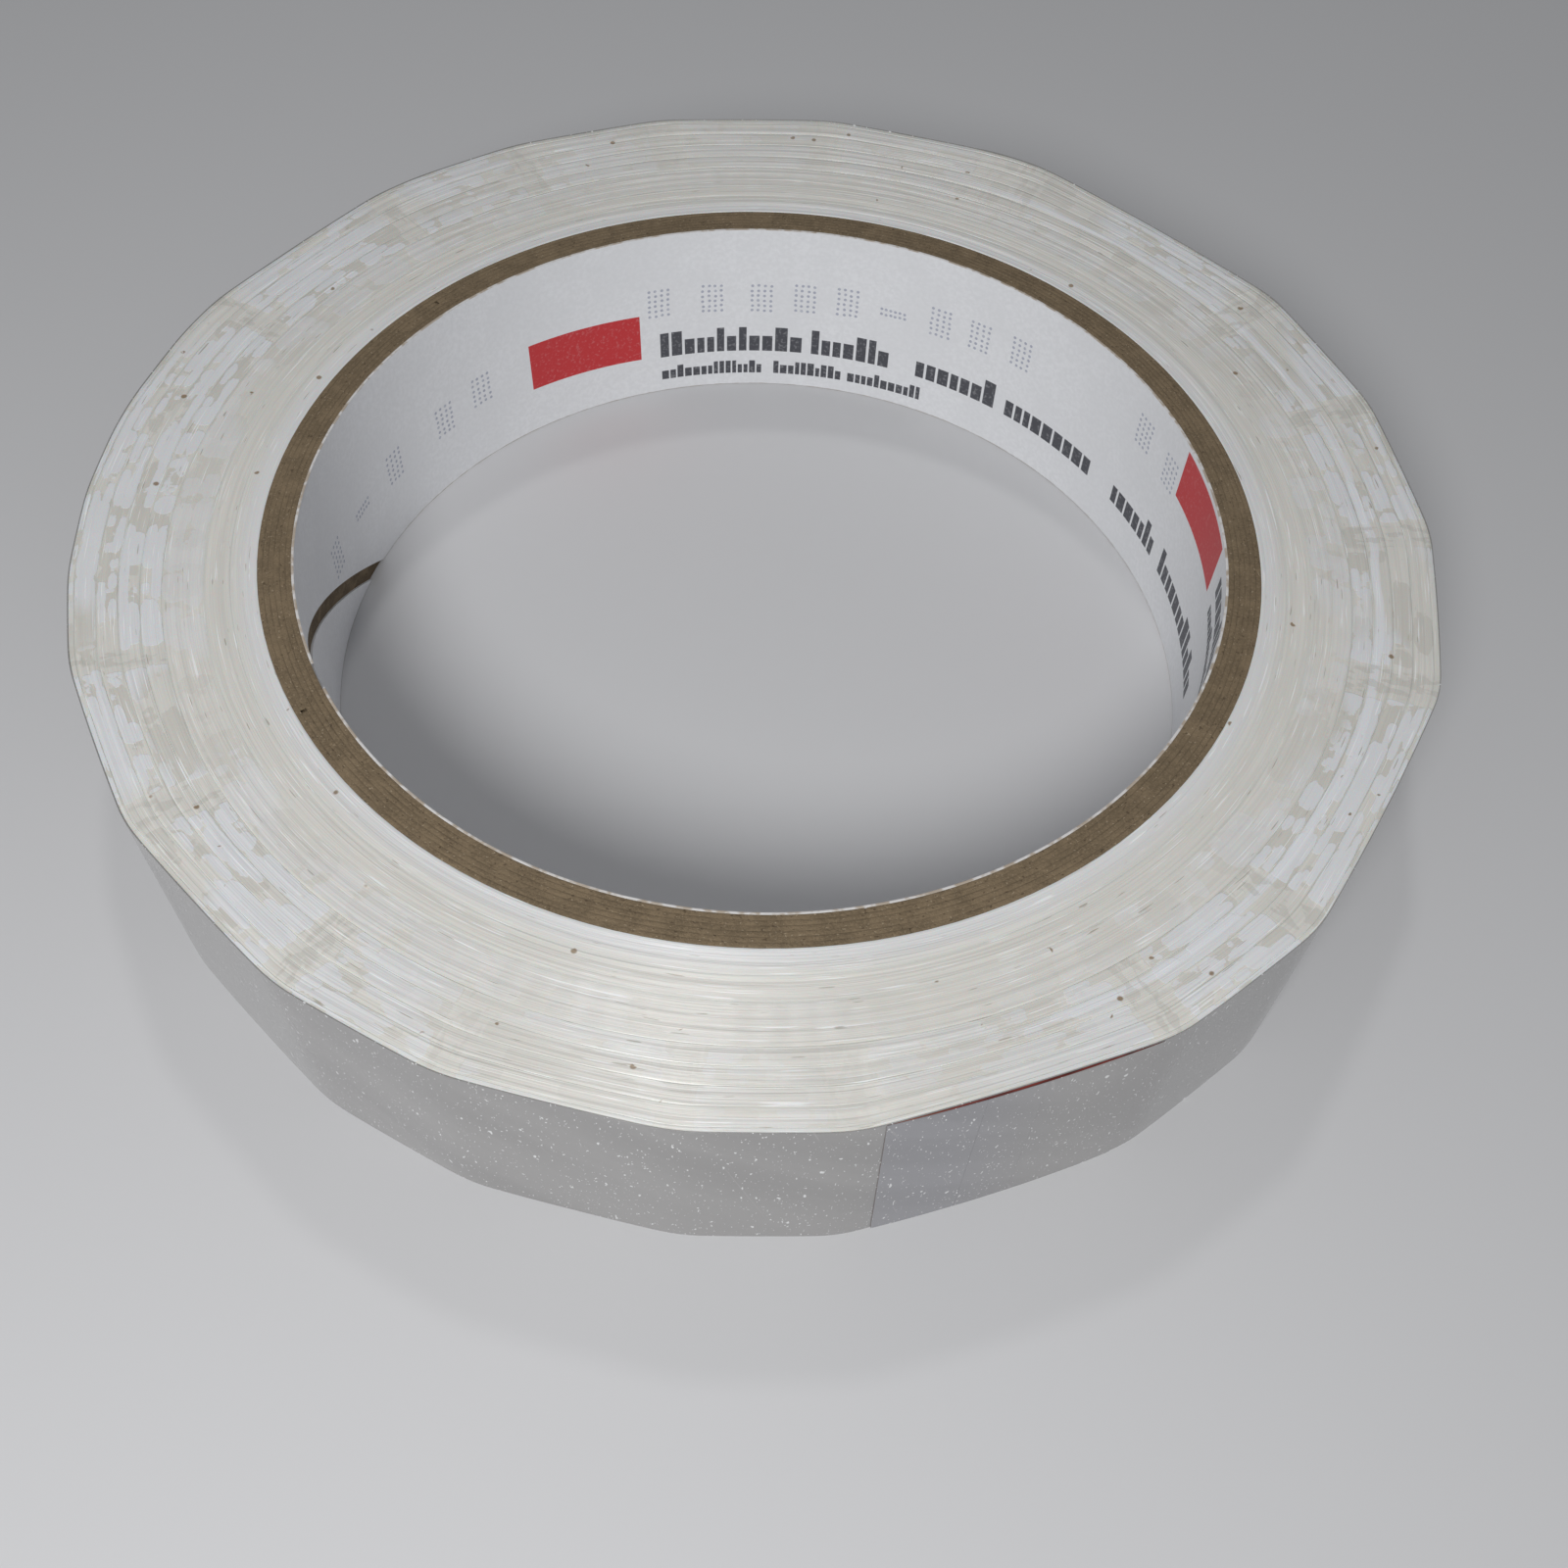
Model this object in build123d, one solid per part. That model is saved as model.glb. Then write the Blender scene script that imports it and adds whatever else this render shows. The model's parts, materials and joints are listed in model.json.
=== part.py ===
from build123d import *
import os
from math import cos, degrees, radians, sin, sqrt

# Electrical tape roll: a spiral-wound paper core, a long strip of thin film tape wound on it,
# and the tape's free end, which peels away with its red end tab.
# Frame: origin on the bore's axis in the bottom face, +Z up along the axis. Millimetres and degrees.

# ---- Driving dimensions ----

roll_width = 19.05                      # width of the tape and of its core
bore_diameter = 76.2                    # inside of the core's paper lining

liner_wall = 0.2                        # white paper lining
ply_wall = 0.44                         # one layer of kraft board
ply_count = 6

liner_gap = 1.5                         # the open helical seam of the lining, across the seam
ply_gap = 0.2                           # the closed helical seam of a board ply, across the seam
seam_slope = 33.0                       # of every seam, up from the circumference
liner_seam_angle = 187.0                # where the lining's seam crosses mid width
ply_seam_step = 73.0                    # from one ply's seam to the next, round the axis

tight_pack_walls = (2.1, 2.0, 3.2)      # wound tight and round, from the core outwards
band_wall = 1.75                        # one of the softer bands outside them
band_count = 4
outer_turns_wall = 0.48                 # the loose turns outside the bands
tape_thickness = 0.066                  # film and adhesive together

winding_offset = 1.25                   # the outermost turn's centre lies this far off the axis, along +Y
side_flatness = 0.8                     # 0 is a round turn, 1 has straight sides between its corners
corner_angles = (15.5, 31.8, 61, 66, 84.2, 102.2, 118, 129, 134, 155, 160.2, 169.5, 173.5, 181.2,
                 190.5, 200.5, 217, 235.3, 248.8, 265.2, 277.2, 301, 315, 341.2, 359)

free_end_root_angle = 297.5             # where the free end leaves the last turn
free_end_length = 17.4
free_end_slant = 0.8                    # how much further the top edge reaches than the bottom edge
free_end_segments = 4
tab_wall = 0.1                          # red end tab, stuck under the free end
peel_clearance = 0.05                   # between the tab and the last turn
hinge_gap = 0.04                        # between two segments of the free end
hinge_range = 24.0                      # each segment's travel away from the roll, degrees

# ---- Worked out from them ----

bore_radius = bore_diameter / 2
ply_start = bore_radius + liner_wall
core_radius = ply_start + ply_count * ply_wall
tight_radius = core_radius + sum(tight_pack_walls)
band_end = tight_radius + band_count * band_wall
turns_radius = band_end + outer_turns_wall
winding_radius = turns_radius + tape_thickness

tab_inner = winding_radius + peel_clearance
film_inner = tab_inner + tab_wall
film_outer = film_inner + tape_thickness

segment_step = degrees(free_end_length / free_end_segments / film_outer)
segment_angles = [free_end_root_angle - i * segment_step for i in range(free_end_segments + 1)]
gap_angle = degrees(hinge_gap / 2 / film_outer)
closed_corners = corner_angles + (corner_angles[0] + 360,)


def crease(radius):
    """How far a turn has gone from round: 0 in the tight packs and 1 at the last turns."""
    return min(1.0, max(0.0, (radius - tight_radius) / (turns_radius - tight_radius)))


def turn_centre(radius):
    return Vector(0, winding_offset * crease(radius))


def towards(angle):
    return Vector(cos(radians(angle)), sin(radians(angle)))


def turn_point(angle, radius):
    """A point on one turn, whose corners lie on a circle and whose sides are flatter arcs."""
    turned = angle if angle >= corner_angles[0] else angle + 360
    start, end = [pair for pair in zip(closed_corners, closed_corners[1:]) if turned <= pair[1]][0]
    half = radians(end - start) / 2
    off_middle = radians(turned - start) - half
    sagitta = radius * (1 - cos(half))
    dip = crease(radius) * side_flatness * sagitta
    arc_centre = dip * (2 * radius - dip) / (2 * (dip - sagitta))
    arc_radius = radius - dip - arc_centre
    distance = arc_centre * cos(off_middle) + sqrt(arc_radius ** 2 - (arc_centre * sin(off_middle)) ** 2)
    return turn_centre(radius) + towards(angle) * distance


def turn_face(radius):
    """The flat area inside one turn."""
    if crease(radius) == 0:
        return Circle(radius).face()
    sides = []
    for start, end in zip(closed_corners, closed_corners[1:]):
        ends = (turn_point(start, radius), turn_point(end % 360, radius))
        sides.append(ThreePointArc(ends[0], turn_point((start + end) / 2, radius), ends[1]))
    return Face(Wire(sides))


def wound(inner, outer):
    """The turns between two radii, as one ring across the roll's width."""
    return extrude(turn_face(outer) - turn_face(inner), roll_width, dir=(0, 0, 1))


def sector(start, end, radius):
    """A block across the roll's width between two rays from a turn's centre."""
    centre = turn_centre(radius)
    reach = 2 * radius
    outline = Polyline(centre, centre + towards(start) * reach, centre + towards(end) * reach, close=True)
    return extrude(Face(Wire(outline)), roll_width, dir=(0, 0, 1))


def seam_cut(angle, gap, radius):
    """A slot across a tube's wall, on the slope of its helical seam."""
    radial = towards(angle)
    tangent = Vector(-radial.Y, radial.X)
    slope = tangent * cos(radians(seam_slope)) + Vector(0, 0, sin(radians(seam_slope)))
    length = 1.3 * roll_width / sin(radians(seam_slope))
    depth = 0.35 * radius
    middle = radial * (radius - depth / 4) + Vector(0, 0, roll_width / 2)
    return Plane(origin=middle, x_dir=radial, z_dir=slope) * Box(depth, gap, length)


def core_tube(inner, wall, seam_angle, gap):
    """One layer of the core: a strip wound once into a tube, open along its helical seam."""
    ring = extrude(Circle(inner + wall) - Circle(inner), roll_width, dir=(0, 0, 1))
    return ring - seam_cut(seam_angle, gap, inner)


def build_core():
    nodes = {"core_liner": core_tube(bore_radius, liner_wall, liner_seam_angle, liner_gap)}
    for i in range(ply_count):
        seam_angle = liner_seam_angle + (i + 1) * ply_seam_step
        nodes[f"core_ply_{i + 1}"] = core_tube(ply_start + i * ply_wall, ply_wall, seam_angle, ply_gap)
    return nodes


def build_winding():
    """The wound tape, from the core outwards, in packs and bands of turns that share their edges."""
    nodes = {}
    radius = core_radius
    for i, wall in enumerate(tight_pack_walls):
        nodes[f"tape_inner_{i + 1}"] = wound(radius, radius + wall)
        radius += wall
    for i in range(band_count):
        nodes[f"tape_band_{i + 1}"] = wound(radius, radius + band_wall)
        radius += band_wall
    nodes["tape_outer_turns"] = wound(band_end, turns_radius)
    last_turn = wound(turns_radius, winding_radius)
    root = sector(free_end_root_angle - gap_angle, free_end_root_angle + gap_angle, winding_radius)
    nodes["tape_last_turn"] = last_turn - root
    return nodes


def slanted_end(end_angle):
    """What lies past the free end's cut, which leans so that the top edge reaches further."""
    middle = turn_point(end_angle, film_outer) + Vector(0, 0, roll_width / 2)
    onward = towards(end_angle - 90) - Vector(0, 0, free_end_slant / roll_width)
    cut = Plane(origin=middle, x_dir=towards(end_angle), z_dir=onward)
    centred = (Align.CENTER, Align.CENTER, Align.MIN)
    return cut * Box(free_end_length, 3 * roll_width, free_end_length, align=centred)


def build_free_end():
    """The free end and its tab, in short segments that hinge one on the next."""
    nodes = {}
    film_ring = wound(film_inner, film_outer)
    tab_ring = wound(tab_inner, film_inner)
    for i in range(free_end_segments):
        start, end = segment_angles[i] - gap_angle, segment_angles[i + 1] + gap_angle
        if i == free_end_segments - 1:
            end = segment_angles[-1] - degrees(free_end_slant / film_outer)
        block = sector(end, start, film_outer) - slanted_end(segment_angles[-1])
        nodes[f"free_end_{i + 1}"] = film_ring & block
        nodes[f"end_tab_{i + 1}"] = tab_ring & block
    return nodes


def hinge_points():
    """Each hinge's place: on the film's outer side, so that only the side facing the roll opens."""
    return [turn_point(angle, film_outer) for angle in segment_angles[:-1]]


def main():
    os.makedirs("parts", exist_ok=True)
    nodes = build_core() | build_winding() | build_free_end()
    for name, piece in nodes.items():
        export_step(piece, f"parts/{name}.step")
        print(f"{name:18s} {len(piece.solids())} solid {piece.volume:10.3f} mm3")
    for i, point in enumerate(hinge_points()):
        print(f"hinge {i + 1}: {point.X:.4f} {point.Y:.4f}, 0 to {hinge_range} degrees")
    print(f"winding radius {winding_radius:.3f}, free end outer {film_outer:.3f}")


main()
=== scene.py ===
import json
import math
import random

import bmesh
import bpy
from bpy.props import FloatProperty, FloatVectorProperty, IntProperty, PointerProperty
from mathutils import Matrix, Vector, noise
from mathutils.bvhtree import BVHTree


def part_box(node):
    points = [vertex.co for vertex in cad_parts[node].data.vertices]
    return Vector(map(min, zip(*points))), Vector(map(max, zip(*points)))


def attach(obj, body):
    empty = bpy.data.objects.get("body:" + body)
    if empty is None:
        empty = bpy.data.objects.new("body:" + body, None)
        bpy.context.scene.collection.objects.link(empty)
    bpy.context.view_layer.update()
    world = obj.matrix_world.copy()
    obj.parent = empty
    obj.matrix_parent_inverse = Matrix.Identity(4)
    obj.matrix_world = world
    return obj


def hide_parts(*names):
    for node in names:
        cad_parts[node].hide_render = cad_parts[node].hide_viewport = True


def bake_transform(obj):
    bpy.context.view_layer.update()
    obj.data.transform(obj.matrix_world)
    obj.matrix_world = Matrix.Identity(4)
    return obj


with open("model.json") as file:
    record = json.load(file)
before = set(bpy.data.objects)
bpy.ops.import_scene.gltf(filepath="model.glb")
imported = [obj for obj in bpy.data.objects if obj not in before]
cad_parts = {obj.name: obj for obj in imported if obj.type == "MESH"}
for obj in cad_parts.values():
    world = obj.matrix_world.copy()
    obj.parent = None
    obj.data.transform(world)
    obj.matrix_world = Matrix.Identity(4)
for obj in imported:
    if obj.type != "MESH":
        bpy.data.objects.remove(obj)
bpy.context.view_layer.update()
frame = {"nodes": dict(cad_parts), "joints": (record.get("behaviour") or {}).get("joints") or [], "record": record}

bl_info = {
    "name": "Electrical tape roll",
    "version": (1, 0, 0),
    "blender": (4, 5, 0),
    "location": "View3D > Sidebar > Tape roll",
    "description": "Builds a wide-bore roll of film tape on a spiral paper core",
    "category": "Add Mesh",
}

MM = 0.001
PLIES = sorted(n for n in frame["nodes"] if n.startswith("core_ply_"))
WOUND = [
    "tape_inner_1", "tape_inner_2", "tape_inner_3",
    "tape_band_1", "tape_band_2", "tape_band_3", "tape_band_4", "tape_outer_turns",
]
ENDS = sorted(n for n in frame["nodes"] if n.startswith("free_end_"))
TABS = sorted(n for n in frame["nodes"] if n.startswith("end_tab_"))
HINGES = frame["joints"]
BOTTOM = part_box("core_liner")[0].z
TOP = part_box("core_liner")[1].z
MIDDLE = (BOTTOM + TOP) / 2
BORE = frame["record"]["mounts"][0]["dims"]["r_mm"] * MM
LINER_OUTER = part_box("core_liner")[1].x
EDGE_ANGLE = math.radians(35)  # a fold sharper than this shows as an edge
LAST_TURN_GAP = 0.0004  # radians left open on each side of where the last turn meets itself
FILM_DENT = 0.02 * MM  # how far the last turn's film dips, on average
TAB_CLEARANCE = 0.004 * MM  # between the last turn and the tab
TAB_EDGE = 0.006 * MM  # the tab at its ends
TAB_BULGE = 0.15 * MM  # how much thicker the tab looks in its middle
FILM_CLEARANCE = 0.012 * MM  # between the tab and the free end's film
FREE_END_STEPS = 16  # steps along one segment of the free end
FILM_ROWS = 12  # steps up a film strip

# The printed marks on the lining. Angles are in degrees round the axis; heights above the bottom edge
# and the marks' own sizes are in millimetres.
RED_BLOCKS = ((119.1, 7.6, 12.0, 5.4, 0.05), (6.0, 15.9, 11.6, 5.2, 0.0))  # angle, height, long, tall, lean
BOLD_BARS = (1.9, 3.0)  # a bold word's low and high bars
SMALL_BARS = (1.1, 1.6)
BOLD_WORDS = ((107, 86.5), (83.4, 71.5), (66.6, 53.5), (51.0, 34.2), (28.2, 15.9), (13.4, -9.2))
BOLD_BASE = 4.4
SMALL_WORDS = ((106.9, 91), (89.2, 79), (77.4, 65.5))
SMALL_BASE = 1.5
FAR_BOLD_WORD, FAR_BOLD_BASE = (-6.0, -30), 15.6
FAR_SMALL_WORD, FAR_SMALL_BASE = (-6.0, -24), 13.0
DOT_GRIDS = (
    (107, 11.2), (98.8, 11.1), (91.3, 11.0), (84.7, 11.2), (78.2, 11.4), (63.6, 11.8), (57.1, 12.0),
    (50.0, 12.4), (144.4, 7.9), (137.0, 8.5), (155.8, 8.0), (174.5, 8.2), (25.0, 14.6), (17.5, 14.2),
)
DOT_DASHES = ((71.1, 11.2), (165, 8.0))
DOT_ACROSS = 0.34


# ---- Sizes and colours ----

class TapeRollSizes(bpy.types.PropertyGroup):
    steps: IntProperty(
        name="Steps round the roll", default=480, min=60,
        description="How many steps each wound ring has round the axis")
    layer: FloatProperty(
        name="Layer", default=0.3 * MM, unit="LENGTH", precision=5,
        description="Width of one visible layer of turns on the wound face")
    layer_relief: FloatProperty(
        name="Layer relief", default=0.03 * MM, unit="LENGTH", precision=6,
        description="How much the layers' edges differ in height")
    groove_depth: FloatProperty(
        name="Groove depth", default=0.03 * MM, unit="LENGTH", precision=6,
        description="Depth of the groove between two bands of turns")
    crease_depth: FloatProperty(
        name="Crease depth", default=0.04 * MM, unit="LENGTH", precision=6,
        description="How far the face dips where the turns are creased")
    crease_round: IntProperty(
        name="Crease rounding", default=2, min=0,
        description="Steps on each side over which a crease in the turns is rounded")
    seam_slope: FloatProperty(
        name="Seam slope", default=math.radians(33), subtype="ANGLE",
        description="Slope of the core's helical seams, up from the circumference")
    liner_seam: FloatProperty(
        name="Lining seam", default=math.radians(187), subtype="ANGLE",
        description="Where the lining's seam crosses mid width")
    liner_gap: FloatProperty(
        name="Lining gap", default=1.5 * MM, unit="LENGTH", precision=5,
        description="Open width of the lining's seam, across the seam")
    ply_gap: FloatProperty(
        name="Ply gap", default=0.2 * MM, unit="LENGTH", precision=5,
        description="Width of a board ply's seam, across the seam")
    ply_seam_step: FloatProperty(
        name="Ply seam step", default=math.radians(73), subtype="ANGLE",
        description="Angle from one ply's seam to the next")
    rows: IntProperty(
        name="Rows up the lining", default=36, min=4,
        description="How many rows of faces the lining has, enough to keep its wall round")
    edge_rounding: FloatProperty(
        name="Paper edge rounding", default=0.05 * MM, unit="LENGTH", precision=6,
        description="Rounding of the paper's cut edges")
    cut_wear: FloatProperty(
        name="Cut edge wear", default=0.07 * MM, unit="LENGTH", precision=6,
        description="How uneven the paper's cut edges are")
    print_depth: FloatProperty(
        name="Print thickness", default=0.012 * MM, unit="LENGTH", precision=6,
        description="Thickness of the ink on the lining")
    film_wall: FloatProperty(
        name="Film thickness", default=0.06 * MM, unit="LENGTH", precision=6,
        description="Thickness of the tape's free end")


class TapeRollColours(bpy.types.PropertyGroup):
    tape: FloatVectorProperty(
        name="Wound tape", default=(0.72, 0.702, 0.655), subtype="COLOR", size=3, min=0, max=1,
        description="Cream of the wound tape's cut edges")
    tape_clear: FloatVectorProperty(
        name="Clear patches", default=(0.565, 0.545, 0.495), subtype="COLOR", size=3, min=0, max=1,
        description="Beige where the turns lie tight and look wet")
    tape_milky: FloatVectorProperty(
        name="Milky patches", default=(0.755, 0.765, 0.79), subtype="COLOR", size=3, min=0, max=1,
        description="Bluish white where air lies between the turns")
    # Painted shade: the film's grey is kept darker than the film itself, to stand in for the shade and a dark
    # reflection on the roll's outer wall.
    film: FloatVectorProperty(
        name="Film", default=(0.279, 0.273, 0.268), subtype="COLOR", size=3, min=0, max=1,
        description="Glossy film round the outside")
    # Painted shade like the film's, and darker still where the free end lies over the red tab.
    film_end: FloatVectorProperty(
        name="Free end film", default=(0.235, 0.235, 0.252), subtype="COLOR", size=3, min=0, max=1,
        description="Film over the red tab")
    board: FloatVectorProperty(
        name="Kraft board", default=(0.212, 0.158, 0.098), subtype="COLOR", size=3, min=0, max=1,
        description="Kraft brown of the core's plies")
    paper: FloatVectorProperty(
        name="Lining paper", default=(0.80, 0.81, 0.83), subtype="COLOR", size=3, min=0, max=1,
        description="White of the core's lining")
    ink: FloatVectorProperty(
        name="Dark ink", default=(0.07, 0.072, 0.085), subtype="COLOR", size=3, min=0, max=1,
        description="Bars printed on the lining")
    dot_ink: FloatVectorProperty(
        name="Dot ink", default=(0.42, 0.44, 0.52), subtype="COLOR", size=3, min=0, max=1,
        description="Pale dots sprayed on the lining")
    red: FloatVectorProperty(
        name="Red", default=(0.56, 0.03, 0.035), subtype="COLOR", size=3, min=0, max=1,
        description="Red mark on the lining")
    tab: FloatVectorProperty(
        name="End tab", default=(0.13, 0.016, 0.010), subtype="COLOR", size=3, min=0, max=1,
        description="Dark red tab under the free end")


class TapeRollStudio(bpy.types.PropertyGroup):
    eye: FloatVectorProperty(
        name="Camera place", default=(0.0, -0.093455, 0.113419), subtype="TRANSLATION", size=3,
        description="Where the camera stands")
    heading: FloatProperty(
        name="Heading", default=0.03079, subtype="ANGLE", description="Turn of the view to the right of +Y")
    tilt: FloatProperty(
        name="Tilt", default=0.958875, subtype="ANGLE", description="How far the view points down")
    roll: FloatProperty(
        name="Roll", default=0.054655, subtype="ANGLE", description="Turn of the view about its own line")
    lens: FloatProperty(
        name="Lens", default=36.297, min=1.0, description="Focal length on a 36 mm wide sensor, in mm")
    floor: FloatVectorProperty(
        name="Floor", default=(0.60, 0.60, 0.61), subtype="COLOR", size=3, min=0, max=1,
        description="Colour of the pale floor")


def sizes():
    return bpy.context.scene.tape_roll_sizes


def colours():
    return bpy.context.scene.tape_roll_colours


# ---- Node material helpers ----

class Shade:
    """A material's node tree, with short ways to add the nodes that the finishes share."""

    def __init__(self, name, roughness, **constants):
        self.material = bpy.data.materials.new(name)
        self.material.use_nodes = True
        self.nodes = self.material.node_tree.nodes
        self.links = self.material.node_tree.links
        self.shader = self.nodes["Principled BSDF"]
        self.shader.inputs["Roughness"].default_value = roughness
        for socket, value in constants.items():
            self.shader.inputs[socket.replace("_", " ")].default_value = value

    def put(self, value, socket):
        if hasattr(value, "is_output"):
            self.links.new(value, socket)
        else:
            socket.default_value = value

    def place(self):
        """Where a point lay on the finished roll at rest, in millimetres."""
        node = self.nodes.new("ShaderNodeAttribute")
        node.attribute_name = "place"
        return node.outputs["Vector"]

    def mark(self, name):
        node = self.nodes.new("ShaderNodeAttribute")
        node.attribute_name = name
        return node.outputs["Fac"]

    def math(self, operation, a, b=0.0, c=0.0):
        node = self.nodes.new("ShaderNodeMath")
        node.operation = operation
        for value, socket in zip((a, b, c), node.inputs):
            self.put(value, socket)
        return node.outputs[0]

    def vector(self, operation, a, b=(0, 0, 0)):
        node = self.nodes.new("ShaderNodeVectorMath")
        node.operation = operation
        self.put(a, node.inputs[0])
        self.put(b, node.inputs[1])
        return node.outputs["Value"] if operation == "LENGTH" else node.outputs["Vector"]

    def vector_part(self, vector, axis):
        node = self.nodes.new("ShaderNodeSeparateXYZ")
        self.put(vector, node.inputs[0])
        return node.outputs[axis]

    def up(self, value, across=0.0):
        node = self.nodes.new("ShaderNodeCombineXYZ")
        self.put(value, node.inputs["Z"])
        self.put(across, node.inputs["X"])
        return node.outputs[0]

    def around(self, arc):
        """A point on a circle round the axis, so large that one step of noise is this arc in millimetres."""
        mean_radius = 48.0
        ring = self.vector("SCALE", self.outward())
        ring.node.inputs["Scale"].default_value = mean_radius / arc
        return ring

    def flat_place(self):
        return self.vector("MULTIPLY", self.place(), (1, 1, 0))

    def radius(self):
        return self.vector("LENGTH", self.flat_place())

    def outward(self):
        return self.vector("NORMALIZE", self.flat_place())

    def along_turns(self, arc, radial, height=1.0):
        """Coordinates that run with the turns: one feature's size along, across and down them, in mm."""
        level = self.math("DIVIDE", self.vector_part(self.place(), "Z"), height)
        across = self.math("DIVIDE", self.radius(), radial)
        return self.vector("ADD", self.around(arc), self.up(across, level))

    def noise(self, vector, scale=1.0, detail=2.0, roughness=0.5, shift=0.0):
        node = self.nodes.new("ShaderNodeTexNoise")
        if shift:
            vector = self.vector("ADD", vector, (shift, shift * 0.7, shift * 1.3))
        self.put(vector, node.inputs["Vector"])
        node.inputs["Scale"].default_value = scale
        node.inputs["Detail"].default_value = detail
        node.inputs["Roughness"].default_value = roughness
        return node.outputs["Fac"]

    def cells(self, vector, scale):
        node = self.nodes.new("ShaderNodeTexVoronoi")
        self.put(vector, node.inputs["Vector"])
        node.inputs["Scale"].default_value = scale
        return node.outputs["Distance"]

    def step(self, value, low, high):
        """0 below low and 1 above high, with a soft change between; low may be the larger."""
        node = self.nodes.new("ShaderNodeMapRange")
        node.interpolation_type = "SMOOTHSTEP"
        node.clamp = True
        self.put(value, node.inputs["Value"])
        flip = low > high
        node.inputs["From Min"].default_value = min(low, high)
        node.inputs["From Max"].default_value = max(low, high)
        node.inputs["To Min"].default_value = 1.0 if flip else 0.0
        node.inputs["To Max"].default_value = 0.0 if flip else 1.0
        return node.outputs["Result"]

    def mix(self, factor, a, b):
        node = self.nodes.new("ShaderNodeMix")
        node.data_type = "RGBA"
        self.put(factor, node.inputs[0])
        for value, socket in ((a, node.inputs[6]), (b, node.inputs[7])):
            self.put(value if hasattr(value, "is_output") else (*value, 1.0), socket)
        return node.outputs[2]

    def colour(self, value):
        self.put(value, self.shader.inputs["Base Color"])

    def rough(self, value):
        self.put(value, self.shader.inputs["Roughness"])

    def bump(self, height, distance, strength=1.0):
        node = self.nodes.new("ShaderNodeBump")
        node.inputs["Strength"].default_value = strength
        node.inputs["Distance"].default_value = distance
        self.put(height, node.inputs["Height"])
        self.links.new(node.outputs["Normal"], self.shader.inputs["Normal"])


def scaled(colour, factor):
    return tuple(min(1.0, c * factor) for c in colour)


# ---- Materials ----

def islands(s, arc, split, shift, low, high):
    """Islands with uneven ends, each as wide as a ring's wall divided into that many parts."""
    part = s.math("MULTIPLY", s.mark("share"), split)
    middle = s.math("ABSOLUTE", s.math("MULTIPLY_ADD", s.math("FRACT", part), 2.0, -1.0))
    edge = s.math("MULTIPLY", s.math("POWER", middle, 4.0), 0.13)
    row = s.math("ADD", s.math("FLOOR", part), s.math("MULTIPLY", s.mark("ring"), 4.0))
    around = s.vector("ADD", s.around(arc), s.up(s.math("MULTIPLY", row, 3.7)))
    lumps = s.math("MULTIPLY_ADD", s.noise(s.place(), 1.5, detail=2, shift=shift), 0.16, -0.08)
    value = s.math("SUBTRACT", s.math("ADD", s.noise(around, detail=1, shift=shift), lumps), edge)
    bend = s.math("MULTIPLY", s.step(s.mark("crease"), 0.45, 0.95), 0.22)
    return s.step(s.math("SUBTRACT", value, bend), low, high)


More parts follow.
